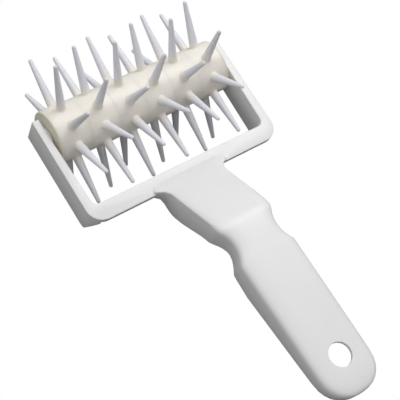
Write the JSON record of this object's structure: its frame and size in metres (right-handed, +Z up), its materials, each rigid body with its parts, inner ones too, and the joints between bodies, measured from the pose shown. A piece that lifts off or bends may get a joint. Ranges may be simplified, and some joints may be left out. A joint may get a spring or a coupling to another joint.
{
  "type": "dough docker",
  "caption": "Spiked roller turning freely in a U-shaped moulded yoke with a raised, hollow handle, for pricking rolled dough.",
  "frame": {"origin": "on the worktop, at the middle of the box round the tool as it lies on its spikes and the tail of the handle", "axes": "+X along the roller axis, +Y forward from the handle to the roller, +Z up"},
  "size_m": [0.127, 0.2495, 0.0878],
  "materials": {
    "white_polypropylene": "semi-gloss moulded",
    "natural_polypropylene": "satin, slightly translucent",
    "cap_plastic": "satin",
    "core_plastic": "satin"
  },
  "bodies": {
    "handle": {"yoke_handle": "white_polypropylene"},
    "roller": {"core_tube": "core_plastic", "spike_ring_1": "natural_polypropylene", "spike_ring_2": "natural_polypropylene", "spike_ring_3": "natural_polypropylene", "spike_ring_4": "natural_polypropylene", "spike_ring_5": "natural_polypropylene", "spike_ring_6": "natural_polypropylene", "end_cap_left": "cap_plastic", "end_cap_right": "cap_plastic"}
  },
  "joints": [
    {"name": "roller_spin", "type": "hinge", "parent": "handle", "child": "roller", "pos_m": [0, 0.08064, 0.04393], "axis": [1, 0, 0], "continuous": true}
  ]
}
